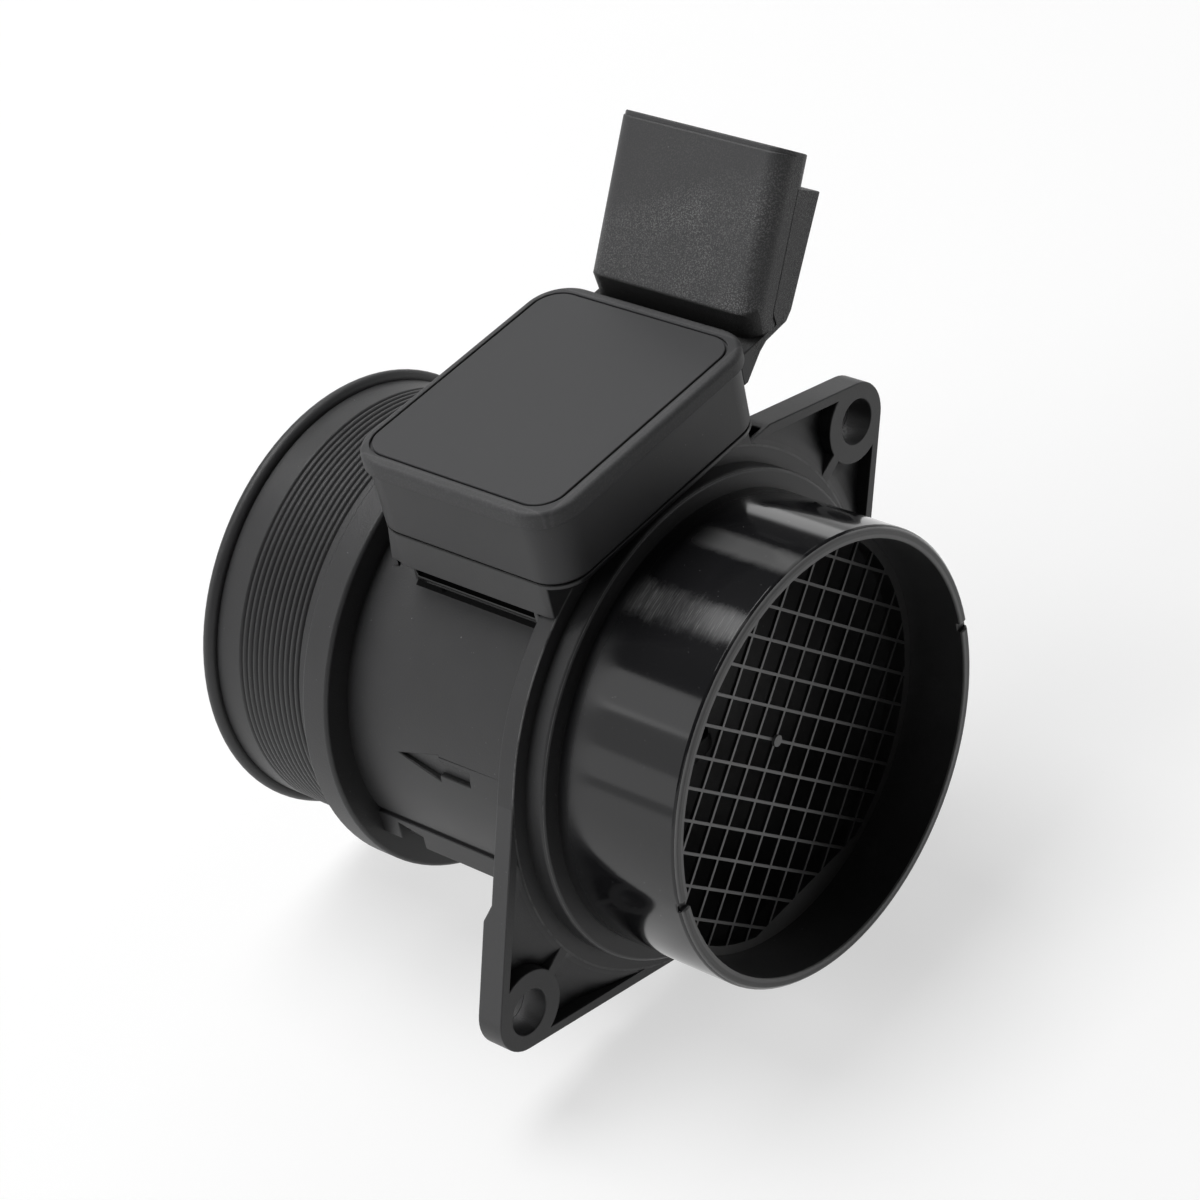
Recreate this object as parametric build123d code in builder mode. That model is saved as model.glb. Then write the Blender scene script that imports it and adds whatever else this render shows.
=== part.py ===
from build123d import *
from math import cos, radians, sin, tan
import os

os.makedirs("parts", exist_ok=True)

# Mass airflow sensor. Millimetres. The origin is on the axis of the tube, at the front face of
# the flange. Air flows along +Y. Z points up to the lid of the electronics box, and the
# connector is on the +X side.

# Tube
mouth_y = -24.8
outlet_y = 69.2
spigot_r = 35.0
mouth_r = 33.1
mouth_chamfer = 0.6
mouth_notch_w = 1.5
mouth_notch_d = 0.8
grid_seat_step = 1.0
throat_r = 30.2
throat_start_y = -0.8
throat_end_y = 37.2
outlet_bore_r = 32.0
edge_break = 0.4
cut_over = 1.0

# Stop ring and flange
ring_y = -3.3
ring_r = 38.0
flange_y = 0.0
plate_t = 3.0
ear_t = 4.4
disc_r = 40.5
ear_circle_r = 51.0
ear_angle = 25.7
ear_tip_r = 6.2
ear_hole_r = 3.6
ear_boss_r = 6.7
ear_pad_start = 45.0
ear_rib_w = 2.0
root_bevel = 1.0
pocket_depth = 2.2
pocket_wall = 1.6
pocket_start_r = 40.6
pocket_deep_r = 46.0
rib_t = 2.0

# Centre body, collar and outlet spigot
body_r = 33.0
collar_y = 39.8
collar_t = 5.2
collar_r = 37.5
outlet_r = 34.2
groove_count = 12
groove_pitch = 1.1
groove_first_y = 49.0
groove_depth = 0.4
groove_w = 0.6
bead_y = 66.3
bead_w = 2.3
bead_rise = 1.4

# Side rails under the body
rail_x = 31.6
rail_inner_x = 24.0
rail_top_z = -10.9
rail_h = 4.2
rail_groove = 0.8
rail_groove_d = 2.0
rail_notch_y = 31.2
rail_notch_l = 5.0
rail_notch_d = 2.4
rail_web = 0.9

# Flow arrow sunk in the side of the body
arrow_tip_y = 29.6
arrow_l = 14.0
arrow_head_l = 8.0
arrow_head_w = 4.4
arrow_shaft_w = 2.3
arrow_z = 5.6
arrow_floor_x = 31.9

# Seat for the electronics box
box_l = 45.8
box_w = 37.1
box_y = 14.75
box_corner_r = 5.5
seam_c = 0.3
seat_top_z = 40.0
seat_t = 4.9
pedestal_l = 37.0
pedestal_back_y = 32.2
slot_front_y = 3.7
slot_back_y = 30.4
slot_h = 2.6
slot_floor_z = 28.0
slot_core_l = 20.0
seat_front_t = 5.9
seat_lip_t = 0.8
plate_top_z = 34.1
plate_slot_start = 20.0
plate_slot_end = 26.0
plate_skin = 0.8
plate_slot_d = 1.5
plate_slot_back = 0.8

# Measuring stem that hangs in the air stream
stem_t = 13.0
stem_front_y = 3.2
stem_back_y = 27.2
stem_bottom_z = -14.0
stem_nose_r = 3.0
stem_chamfer = 2.0
stem_clear = 0.4
duct_cover_t = 1.5
duct_wall = 1.5
duct_h = 9.0
duct_z = -5.0
duct_throat_h = 5.6
cover_rim = 1.6
cover_top_z = 18.0

# Seal between the box and its seat
seal_w = 2.4
seal_h = 1.8
seal_gap = 0.5

# Electronics box
box_floor_t = 2.2
box_wall = 1.9
box_h = 10.5
box_draft = 1.0
lid_t = 2.6
lid_overhang = 0.9
lid_edge_r = 0.9
panel_shift = 0.35
lid_groove_in = 2.0
lid_groove_w = 0.35
lid_groove_d = 0.5
lid_tongue = 1.2
lid_tongue_r = 1.0
lid_tongue_gap = 0.15

# Circuit in the box
plate_l = 34.0
plate_w = 30.0
plate_h = 1.0
plate_shift = -2.0
plate_corner_r = 1.0
board_l = 28.0
board_w = 25.0
board_t = 0.8
chip_size = 8.0
chip_t = 1.6
chip_shift = -6.7
cap_l = 3.2
cap_w = 1.6
cap_spacing = 6.0
cap_shift = 5.0

# Flow element and air temperature element
film_w = 8.0
film_h = 9.0
film_t = 0.5
film_reach = 4.4
temp_bead_r = 1.1
temp_bead_l = 4.0
temp_lead_r = 0.3
temp_z = 12.0
temp_notch_w = 5.0
temp_notch_h = 9.0
temp_notch_d = 3.6

# Connector, leaning from the vertical towards +X
plug_tilt = 33.8
plug_w = 31.2
plug_y = 13.9
plug_depth = 8.0
plug_near = -8.8
plug_mouth = 83.2
plug_lip = 0.8
plug_lip_in = 0.35
plug_lean = 5.0
plug_foot = 59.5
plug_corner_r = 3.2
plug_wall = 1.3
plug_cavity = 13.0
back_block = 2.0
back_block_top = 78.4
back_block_inner = -3.5
back_block_foot = 61.0
back_block_taper = 1.1
neck_root_z = 45.0
neck_under = [(26.6, 48.0), (28.3, 48.8), (33.2, 49.1)]
neck_near_x = 26.2
neck_far_x = 33.2
neck_foot_z = 49.5
neck_floor_z = 49.9
neck_bend_x = 31.0
plug_overlap = 1.0

# Terminals
pin_count = 6
pin_pitch = 4.0
pin_t = 0.8
pin_w = 1.5
pin_z = 47.6
pin_start_x = 17.0
pin_bend_x = 24.8
pin_rise = 61.5
pin_tip = 79.0

# Flow grid in the mouth
grid_y = -14.8
grid_t = 3.0
grid_open_r = 31.6
grid_fit = 0.05
grid_pitch = 4.65
grid_bar = 0.45
grid_bar_depth = 0.5
grid_flat_z = -29.0
grid_hub_r = 0.9
grid_hub_h = 0.5


def cross_plane(y):
    """A plane square to the tube axis at Y = y, with its own Y axis up."""
    return Plane.XZ.offset(-y)


def plug_point(s, q):
    """X and Z of a point s along the connector's axis and q across it."""
    tilt = radians(plug_tilt)
    return (s * sin(tilt) + q * cos(tilt), s * cos(tilt) - q * sin(tilt))


def plug_plane(s):
    """A plane square to the connector's axis, s along it."""
    x, z = plug_point(s, 0)
    tilt = radians(plug_tilt)
    return Plane(origin=(x, plug_y, z), x_dir=(cos(tilt), 0, -sin(tilt)), z_dir=(sin(tilt), 0, cos(tilt)))


def pin_outline():
    """The bent outline of one terminal, drawn in the current sketch as a chain of slots."""
    joints = [
        Vector(pin_start_x, pin_z),
        Vector(pin_bend_x, pin_z),
        Vector(*plug_point(pin_rise, plug_middle)),
        Vector(*plug_point(pin_tip, plug_middle)),
    ]
    for start, end in zip(joints, joints[1:]):
        run = end - start
        with Locations(start + run / 2):
            turn = run.get_signed_angle(Vector(1, 0), Vector(0, 0, -1))
            SlotCenterToCenter(run.length, pin_t, rotation=turn)


ear_x = ear_circle_r * cos(radians(ear_angle))
ear_z = ear_circle_r * sin(radians(ear_angle))
plug_middle = plug_near + plug_depth / 2
plug_low_side = plug_mouth + plug_lip - (plug_depth + cut_over) * tan(radians(plug_lean))
seat_bottom_z = seat_top_z - seat_t
box_floor_z = seat_top_z + box_floor_t
box_top_z = seat_top_z + box_h
stem_l = stem_back_y - stem_front_y
stem_y = (stem_front_y + stem_back_y) / 2
seal_inner_l = stem_t + 2 * seal_gap
seal_inner_w = stem_l + 2 * seal_gap
cover_l = stem_l - 2 * stem_nose_r
cover_h = cover_top_z - stem_bottom_z - stem_chamfer - cover_rim
film_top_z = duct_z + duct_throat_h / 2 - film_reach + film_h
board_top_z = box_floor_z + plate_h + board_t
lid_l = box_l + 2 * lid_overhang
lid_w = box_w + 2 * lid_overhang
lid_corner_r = box_corner_r + lid_overhang
panel_l = lid_l - 2 * lid_groove_in
panel_w = lid_w - 2 * lid_groove_in + 2 * panel_shift
panel_corner_r = lid_corner_r - lid_groove_in
lip_l = box_l - 2 * box_wall - 2 * lid_tongue_gap
lip_w = box_w - 2 * box_wall - 2 * lid_tongue_gap
grid_bars = 2 * int(grid_open_r / grid_pitch) + 1
pin_offsets = [(i - (pin_count - 1) / 2) * pin_pitch for i in range(pin_count)]

# Tube housing: one moulding, turned about the tube axis, with flange, seat and side rails
with BuildPart() as tube:
    with BuildSketch(Plane.XY):
        with BuildLine():
            Polyline(
                (0, mouth_y),
                (spigot_r - mouth_chamfer, mouth_y),
                (spigot_r, mouth_y + mouth_chamfer),
                (spigot_r, ring_y),
                (ring_r - edge_break, ring_y),
                (ring_r, ring_y + edge_break),
                (ring_r, flange_y),
                (ring_r, flange_y + plate_t),
                (body_r + root_bevel, flange_y + plate_t),
                (body_r, flange_y + plate_t + root_bevel),
                (body_r, collar_y),
                (collar_r - edge_break, collar_y),
                (collar_r, collar_y + edge_break),
                (collar_r, collar_y + collar_t - edge_break),
                (collar_r - edge_break, collar_y + collar_t),
                (outlet_r, collar_y + collar_t),
                (outlet_r, bead_y),
            )
            ThreePointArc(
                (outlet_r, bead_y),
                (outlet_r + bead_rise, bead_y + bead_w / 2),
                (outlet_r, bead_y + bead_w),
            )
            Polyline(
                (outlet_r, bead_y + bead_w),
                (outlet_r - edge_break, outlet_y),
                (0, outlet_y),
                (0, mouth_y),
            )
        make_face()
    revolve(axis=Axis.Y)

    # Fine grooves round the outlet spigot that grip the hose
    with BuildSketch(Plane.XY):
        with Locations((outlet_r, groove_first_y)):
            with GridLocations(groove_pitch, groove_pitch, 1, groove_count, align=(Align.CENTER, Align.MIN)):
                Polygon((groove_depth, groove_w), (groove_depth, -groove_w), (-groove_depth, 0), align=None)
    revolve(axis=Axis.Y, mode=Mode.SUBTRACT)

    # Flange plate with its two ears
    with BuildSketch(cross_plane(flange_y)):
        Circle(disc_r)
        with PolarLocations(ear_circle_r, 2, start_angle=ear_angle):
            Circle(ear_tip_r)
        make_hull()
    extrude(amount=-plate_t)

    # Thicker back of the ears, with a slope at its start
    with BuildSketch(cross_plane(flange_y + plate_t)):
        Circle(disc_r)
        with PolarLocations(ear_circle_r, 2, start_angle=ear_angle):
            Circle(ear_tip_r)
        make_hull()
        Circle(ear_pad_start, mode=Mode.SUBTRACT)
    extrude(amount=plate_t - ear_t)
    with BuildSketch(Plane.XY):
        with BuildLine():
            Polyline(
                (ear_pad_start, flange_y + plate_t),
                (ear_pad_start, flange_y + ear_t),
                (ear_pad_start + ear_t - plate_t, flange_y + ear_t),
                (ear_pad_start, flange_y + plate_t),
            )
        make_face()
    revolve(axis=Axis.Y, mode=Mode.SUBTRACT)

    # Rib along the top edge of the +X ear, from the seat to the thick end
    with BuildSketch(cross_plane(flange_y + plate_t)):
        Circle(disc_r)
        with PolarLocations(ear_circle_r, 2, start_angle=ear_angle):
            Circle(ear_tip_r)
        make_hull()
        Circle(disc_r - ear_rib_w, mode=Mode.SUBTRACT)
        with Locations((ear_x, ear_z + disc_r / 2)):
            Rectangle(2 * (ear_x - plate_slot_end), disc_r, mode=Mode.INTERSECT)
    extrude(amount=plate_t - ear_t)

    # Flat top of the flange plate below the seat, with a slot behind its front skin
    with BuildSketch(cross_plane(flange_y)):
        with Locations((0, plate_top_z + disc_r / 2)):
            Rectangle(2 * ear_circle_r, disc_r)
    extrude(amount=-ear_t, mode=Mode.SUBTRACT)
    with BuildSketch(Plane.XY.offset(plate_top_z)):
        with Locations(((plate_slot_start + plate_slot_end) / 2, flange_y + plate_t / 2)):
            Rectangle(plate_slot_end - plate_slot_start, plate_t - plate_skin - plate_slot_back)
    extrude(amount=-plate_slot_d, mode=Mode.SUBTRACT)

    # Seat: a flat top that thins out over the flange, on a narrower pedestal
    for layer_t, front_y in (
        (seat_lip_t, flange_y - box_w),
        (seat_front_t, flange_y),
        (seat_t, flange_y + plate_t),
    ):
        with BuildSketch(Plane.XY.offset(seat_top_z)):
            with Locations((0, box_y)):
                RectangleRounded(box_l, box_w, box_corner_r)
            with Locations((0, front_y - box_w / 2)):
                Rectangle(2 * box_l, box_w, mode=Mode.SUBTRACT)
        extrude(amount=-layer_t)
    with BuildSketch(Plane.XY):
        with Locations((0, (flange_y + plate_t + pedestal_back_y) / 2)):
            Rectangle(pedestal_l, pedestal_back_y - flange_y - plate_t)
    extrude(amount=seat_bottom_z)
    with BuildSketch(Plane.XY.offset(seat_bottom_z)):
        with Locations((0, box_y)):
            RectangleRounded(box_l, box_w, box_corner_r)
        with Locations((0, (slot_front_y + slot_back_y) / 2)):
            Rectangle(2 * box_l, slot_back_y - slot_front_y, mode=Mode.SUBTRACT)
        with Locations((0, flange_y + plate_t - box_w / 2)):
            Rectangle(2 * box_l, box_w, mode=Mode.SUBTRACT)
    extrude(amount=-slot_h)

    # Recess under both long sides of the seat, down to a low ledge on the tube
    for side in (-1, 1):
        with BuildSketch(cross_plane(slot_front_y)):
            with Locations((side * (pedestal_l + slot_core_l) / 4, (seat_bottom_z + slot_floor_z) / 2)):
                Rectangle((pedestal_l - slot_core_l) / 2, seat_bottom_z - slot_floor_z)
            Circle(body_r, mode=Mode.SUBTRACT)
        extrude(amount=slot_front_y - slot_back_y, mode=Mode.SUBTRACT)

    # Rails along both sides of the body, with a groove over them and a notch at the back
    for side in (-1, 1):
        with BuildSketch(cross_plane(flange_y)):
            with Locations((side * (rail_x + rail_inner_x) / 2, rail_top_z - rail_h / 2)):
                Rectangle(rail_x - rail_inner_x, rail_h)
        extrude(amount=flange_y - collar_y)
        with BuildSketch(cross_plane(flange_y + plate_t)):
            with Locations((side * body_r, rail_top_z + rail_groove / 2)):
                Rectangle(2 * rail_groove_d, rail_groove)
        extrude(amount=flange_y + plate_t - collar_y, mode=Mode.SUBTRACT)
        with BuildSketch(Plane.YZ.offset(side * rail_x)):
            with BuildLine():
                Polyline(
                    (rail_notch_y, rail_top_z - rail_h),
                    (rail_notch_y + rail_notch_l, rail_top_z - rail_h),
                    (rail_notch_y + rail_notch_l, rail_top_z - rail_web),
                    (rail_notch_y, rail_top_z - 2 * rail_web),
                    (rail_notch_y, rail_top_z - rail_h),
                )
            make_face()
        extrude(amount=rail_notch_d, both=True, mode=Mode.SUBTRACT)

    # Lightening pockets in the front of the ears, either side of a middle rib, with sloping floors
    with BuildPart(mode=Mode.SUBTRACT):
        with BuildSketch(cross_plane(flange_y)):
            Circle(disc_r - pocket_wall)
            with PolarLocations(ear_circle_r, 2, start_angle=ear_angle):
                Circle(ear_tip_r - pocket_wall)
            make_hull()
            with PolarLocations(ear_circle_r, 2, start_angle=ear_angle):
                Circle(ear_boss_r, mode=Mode.SUBTRACT)
            with Locations(Rotation(0, 0, ear_angle)):
                Rectangle(2 * ear_circle_r, rib_t, mode=Mode.SUBTRACT)
        extrude(amount=-pocket_depth)
        with BuildSketch(Plane.XY):
            with BuildLine():
                Polyline(
                    (0, flange_y),
                    (pocket_start_r, flange_y),
                    (pocket_deep_r, flange_y + pocket_depth),
                    (0, flange_y + pocket_depth),
                    (0, flange_y),
                )
            make_face()
        revolve(axis=Axis.Y, mode=Mode.SUBTRACT)

    # Fixing holes
    with BuildSketch(cross_plane(flange_y)):
        with PolarLocations(ear_circle_r, 2, start_angle=ear_angle):
            Circle(ear_hole_r)
    extrude(amount=-ear_t, mode=Mode.SUBTRACT)

    # Flow arrow in the -X side of the body
    with BuildSketch(Plane.YZ.offset(-arrow_floor_x)):
        with BuildLine():
            Polyline(
                (arrow_tip_y, arrow_z),
                (arrow_tip_y - arrow_head_l, arrow_z + arrow_head_w / 2),
                (arrow_tip_y - arrow_head_l, arrow_z + arrow_shaft_w / 2),
                (arrow_tip_y - arrow_l, arrow_z + arrow_shaft_w / 2),
                (arrow_tip_y - arrow_l, arrow_z - arrow_shaft_w / 2),
                (arrow_tip_y - arrow_head_l, arrow_z - arrow_shaft_w / 2),
                (arrow_tip_y - arrow_head_l, arrow_z - arrow_head_w / 2),
                (arrow_tip_y, arrow_z),
            )
        make_face()
    extrude(amount=arrow_floor_x - body_r, mode=Mode.SUBTRACT)

    # Bore: a wide mouth that holds the grid, a throat past the stem, a wider outlet
    with BuildSketch(Plane.XY):
        with BuildLine():
            Polyline(
                (0, mouth_y),
                (mouth_r, mouth_y),
                (mouth_r, grid_y + grid_t),
                (mouth_r - grid_seat_step, grid_y + grid_t),
                (throat_r, throat_start_y),
                (throat_r, throat_end_y),
                (outlet_bore_r, collar_y + collar_t),
                (outlet_bore_r, outlet_y),
                (0, outlet_y),
                (0, mouth_y),
            )
        make_face()
    revolve(axis=Axis.Y, mode=Mode.SUBTRACT)

    # Two small notches in the mouth, at the parting line of the mould
    for side in (-1, 1):
        with BuildSketch(cross_plane(mouth_y)):
            with Locations((side * spigot_r, 0)):
                Rectangle(2 * (spigot_r - mouth_r + cut_over), mouth_notch_w)
        extrude(amount=-mouth_notch_d, mode=Mode.SUBTRACT)

    # Window for the stem and the recess for the seal
    with BuildSketch(Plane.XY):
        with Locations((0, stem_y)):
            Rectangle(stem_t + 2 * stem_clear, stem_l + 2 * stem_clear)
    extrude(amount=seat_top_z, mode=Mode.SUBTRACT)
    with BuildSketch(Plane.XY.offset(seat_top_z)):
        with Locations((0, stem_y)):
            Rectangle(seal_inner_l + 2 * seal_w, seal_inner_w + 2 * seal_w)
    extrude(amount=-seal_h, mode=Mode.SUBTRACT)
tube.part.label = "tube_housing"
export_step(tube.part, "parts/tube_housing.step")

# Seal between the electronics box and the seat
with BuildPart() as seal:
    with BuildSketch(Plane.XY.offset(seat_top_z - seal_h)):
        with Locations((0, stem_y)):
            Rectangle(seal_inner_l + 2 * seal_w, seal_inner_w + 2 * seal_w)
            Rectangle(seal_inner_l, seal_inner_w, mode=Mode.SUBTRACT)
    extrude(amount=seal_h)
seal.part.label = "stem_seal"
export_step(seal.part, "parts/stem_seal.step")

# Electronics box with its stem, neck and connector: one moulding
with BuildPart() as body:
    with BuildSketch(Plane.XY.offset(stem_bottom_z)):
        with Locations((0, stem_y)):
            RectangleRounded(stem_t, stem_l, stem_nose_r)
    extrude(amount=seat_top_z - stem_bottom_z)
    chamfer(body.edges().group_by(Axis.Z)[0], stem_chamfer)

    # Box, drafted outward to its open top
    with BuildSketch(Plane.XY.offset(seat_top_z)):
        with Locations((0, box_y)):
            RectangleRounded(box_l - 2 * seam_c, box_w - 2 * seam_c, box_corner_r - seam_c)
    extrude(amount=seam_c, taper=-45)
    with BuildSketch(Plane.XY.offset(seat_top_z + seam_c)):
        with Locations((0, box_y)):
            RectangleRounded(box_l, box_w, box_corner_r)
    extrude(amount=box_h - seam_c, taper=-box_draft)

    # Neck and the block behind the connector
    with BuildSketch(cross_plane(plug_y - plug_w / 2)):
        with BuildLine():
            Polyline(
                (box_l / 2 - box_wall / 2, neck_root_z),
                (box_l / 2, neck_root_z),
                *neck_under,
                plug_point(back_block_foot, back_block - back_block_taper),
                plug_point(back_block_top, back_block),
                plug_point(back_block_top, back_block_inner),
                plug_point(plug_foot + plug_overlap, back_block_inner),
                (neck_bend_x, neck_floor_z),
                (box_l / 2 - box_wall / 2, neck_floor_z),
                (box_l / 2 - box_wall / 2, neck_root_z),
            )
        make_face()
    extrude(amount=-plug_w)

    # Foot of the connector, from the neck up to the shroud
    with BuildSketch(Plane.XY.offset(neck_foot_z)):
        with Locations(((neck_near_x + neck_far_x) / 2, plug_y)):
            RectangleRounded(neck_far_x - neck_near_x, plug_w, plug_corner_r)
    with BuildSketch(plug_plane(plug_foot)):
        with Locations((plug_middle, 0)):
            RectangleRounded(plug_depth, plug_w, plug_corner_r)
    loft()

    # Connector shroud and its socket
    with BuildSketch(plug_plane(plug_foot)):
        with Locations((plug_middle, 0)):
            RectangleRounded(plug_depth, plug_w, plug_corner_r)
    extrude(amount=plug_mouth - plug_foot)
    with BuildSketch(plug_plane(plug_mouth)):
        with Locations((plug_middle + plug_lip_in / 2, 0)):
            RectangleRounded(plug_depth - plug_lip_in, plug_w, plug_corner_r)
    extrude(amount=plug_lip)
    with BuildSketch(cross_plane(plug_y - plug_w / 2)):
        with BuildLine():
            Polyline(
                plug_point(plug_mouth + plug_lip, plug_near),
                plug_point(plug_mouth + plug_lip, plug_near + plug_depth + cut_over),
                plug_point(plug_low_side, plug_near + plug_depth + cut_over),
                plug_point(plug_mouth + plug_lip, plug_near),
            )
        make_face()
    extrude(amount=-plug_w, mode=Mode.SUBTRACT)
    with BuildSketch(plug_plane(plug_mouth + plug_lip)):
        with Locations((plug_middle, 0)):
            RectangleRounded(plug_depth - 2 * plug_wall, plug_w - 2 * plug_wall, plug_corner_r - plug_wall)
    extrude(amount=-plug_cavity, mode=Mode.SUBTRACT)

    # Hollow of the box
    with BuildSketch(Plane.XY.offset(box_floor_z)):
        with Locations((0, box_y)):
            RectangleRounded(box_l - 2 * box_wall, box_w - 2 * box_wall, box_corner_r - box_wall)
    extrude(amount=box_h, mode=Mode.SUBTRACT)

    # Sampling duct through the stem, narrowest at the flow element
    with BuildSketch(Plane.YZ.offset(-stem_t / 2 + duct_wall)):
        with BuildLine():
            Line((stem_front_y, duct_z - duct_h / 2), (stem_front_y, duct_z + duct_h / 2))
            ThreePointArc(
                (stem_front_y, duct_z + duct_h / 2),
                (stem_y, duct_z + duct_throat_h / 2),
                (stem_back_y, duct_z + duct_h / 2),
            )
            Line((stem_back_y, duct_z + duct_h / 2), (stem_back_y, duct_z - duct_h / 2))
            ThreePointArc(
                (stem_back_y, duct_z - duct_h / 2),
                (stem_y, duct_z - duct_throat_h / 2),
                (stem_front_y, duct_z - duct_h / 2),
            )
        make_face()
    extrude(amount=stem_t - duct_wall - duct_cover_t, mode=Mode.SUBTRACT)

    # Rebate for the duct cover
    with BuildSketch(Plane.YZ.offset(stem_t / 2)):
        with Locations((stem_y, (stem_bottom_z + stem_chamfer + cover_rim + cover_top_z) / 2)):
            Rectangle(cover_l, cover_h)
    extrude(amount=-duct_cover_t, mode=Mode.SUBTRACT)

    # Slot that holds the flow element, reached from the cover's side
    with BuildSketch(Plane.YZ.offset(-film_t / 2)):
        with Locations((stem_y, film_top_z - film_h / 2)):
            Rectangle(film_w, film_h)
    extrude(amount=stem_t / 2 - duct_cover_t + film_t / 2, mode=Mode.SUBTRACT)

    # Notch in the front of the stem for the air temperature element
    with BuildSketch(cross_plane(stem_front_y)):
        with Locations((0, temp_z)):
            Rectangle(temp_notch_w, temp_notch_h)
    extrude(amount=-temp_notch_d, mode=Mode.SUBTRACT)

    # Passages that the terminals are moulded into
    for offset_y in pin_offsets:
        with BuildSketch(cross_plane(plug_y + offset_y - pin_w / 2)):
            pin_outline()
        extrude(amount=-pin_w, mode=Mode.SUBTRACT)
body.part.label = "sensor_body"
export_step(body.part, "parts/sensor_body.step")

# Duct cover, let into the side of the stem
with BuildPart() as cover:
    with BuildSketch(Plane.YZ.offset(stem_t / 2)):
        with Locations((stem_y, (stem_bottom_z + stem_chamfer + cover_rim + cover_top_z) / 2)):
            Rectangle(cover_l, cover_h)
    extrude(amount=-duct_cover_t)
cover.part.label = "duct_cover"
export_step(cover.part, "parts/duct_cover.step")

# Flow element: a thin plate that reaches down into the throat of the duct
with BuildPart() as film:
    with BuildSketch(Plane.YZ.offset(-film_t / 2)):
        with Locations((stem_y, film_top_z - film_h / 2)):
            Rectangle(film_w, film_h)
    extrude(amount=film_t)
film.part.label = "flow_element"
export_step(film.part, "parts/flow_element.step")

# Air temperature element: a glass bead on two leads, across the notch in the stem
with BuildPart() as temp:
    with Locations((0, stem_front_y + temp_notch_d / 2, temp_z)):
        Cylinder(temp_bead_r, temp_bead_l)
        Cylinder(temp_lead_r, temp_notch_h)
    bead_edges = temp.edges().filter_by(GeomType.CIRCLE).filter_by(lambda e: e.radius > temp_bead_r / 2)
    fillet(bead_edges, temp_bead_r / 2)
temp.part.label = "air_temp_element"
export_step(temp.part, "parts/air_temp_element.step")

# Base plate and the circuit board bonded on it
with BuildPart() as base_plate:
    with BuildSketch(Plane.XY.offset(box_floor_z)):
        with Locations((plate_shift, box_y)):
            RectangleRounded(plate_l, plate_w, plate_corner_r)
    extrude(amount=plate_h)
base_plate.part.label = "base_plate"
export_step(base_plate.part, "parts/base_plate.step")

with BuildPart() as board:
    with BuildSketch(Plane.XY.offset(box_floor_z + plate_h)):
        with Locations((plate_shift, box_y)):
            Rectangle(board_l, board_w)
    extrude(amount=board_t)
board.part.label = "circuit_board"
export_step(board.part, "parts/circuit_board.step")

# Chip and two capacitors on the board
with BuildPart() as chip:
    with BuildSketch(Plane.XY.offset(board_top_z)):
        with Locations((chip_shift, box_y)):
            Rectangle(chip_size, chip_size)
    extrude(amount=chip_t)
chip.part.label = "signal_chip"
export_step(chip.part, "parts/signal_chip.step")

for number, side in ((1, -1), (2, 1)):
    with BuildPart() as capacitor:
        with BuildSketch(Plane.XY.offset(board_top_z)):
            with Locations((cap_shift, box_y + side * cap_spacing)):
                Rectangle(cap_l, cap_w)
        extrude(amount=cap_w)
    capacitor.part.label = f"capacitor_{number}"
    export_step(capacitor.part, f"parts/capacitor_{number}.step")

# Terminals, bent up from the box into the connector
for number, offset_y in enumerate(pin_offsets, 1):
    with BuildPart() as pin:
        with BuildSketch(cross_plane(plug_y + offset_y - pin_w / 2)):
            pin_outline()
        extrude(amount=-pin_w)
    pin.part.label = f"terminal_{number}"
    export_step(pin.part, f"parts/terminal_{number}.step")

# Lid of the box, with a rounded edge, a fine groove round its top and a locating lip below
with BuildPart() as lid:
    with BuildSketch(Plane.XY.offset(box_top_z)):
        with Locations((0, box_y)):
            RectangleRounded(lid_l, lid_w, lid_corner_r)
    extrude(amount=lid_t)
    fillet(lid.faces().sort_by(Axis.Z)[-1].edges(), lid_edge_r)
    with BuildSketch(Plane.XY.offset(box_top_z + lid_t)):
        with Locations((0, box_y + panel_shift)):
            RectangleRounded(panel_l, panel_w, panel_corner_r)
            offset(amount=-lid_groove_w, mode=Mode.SUBTRACT)
    extrude(amount=-lid_groove_d, mode=Mode.SUBTRACT)
    with BuildSketch(Plane.XY.offset(box_top_z)):
        with Locations((0, box_y)):
            RectangleRounded(lip_l, lip_w, box_corner_r - box_wall - lid_tongue_gap)
            RectangleRounded(lip_l - 2 * lid_tongue, lip_w - 2 * lid_tongue, lid_tongue_r, mode=Mode.SUBTRACT)
    extrude(amount=-lid_tongue)
lid.part.label = "module_lid"
export_step(lid.part, "parts/module_lid.step")

# Flow grid: a fine square lattice at 45 degrees in a ring with one flat side
with BuildPart() as grid:
    with BuildSketch(cross_plane(grid_y)):
        with Locations(Rotation(0, 0, 45), Rotation(0, 0, -45)):
            with GridLocations(grid_pitch, 1, grid_bars, 1):
                Rectangle(grid_bar, 2 * mouth_r)
        Circle((grid_open_r + mouth_r) / 2, mode=Mode.INTERSECT)
    extrude(amount=-grid_bar_depth)
    with BuildSketch(cross_plane(grid_y)):
        Circle(mouth_r - grid_fit)
        Circle(grid_open_r, mode=Mode.SUBTRACT)
    extrude(amount=-grid_t)
    with BuildSketch(cross_plane(grid_y)):
        Circle((grid_open_r + mouth_r) / 2)
        with Locations((0, mouth_r + grid_flat_z)):
            Rectangle(2 * mouth_r, 2 * mouth_r, mode=Mode.SUBTRACT)
    extrude(amount=-grid_t)
    with BuildSketch(cross_plane(grid_y)):
        Circle(grid_hub_r)
    extrude(amount=grid_hub_h)
grid.part.label = "flow_grid"
export_step(grid.part, "parts/flow_grid.step")
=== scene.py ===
from math import cos, pi, radians, sin

import bmesh
import bpy
from mathutils import Matrix, Vector


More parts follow.
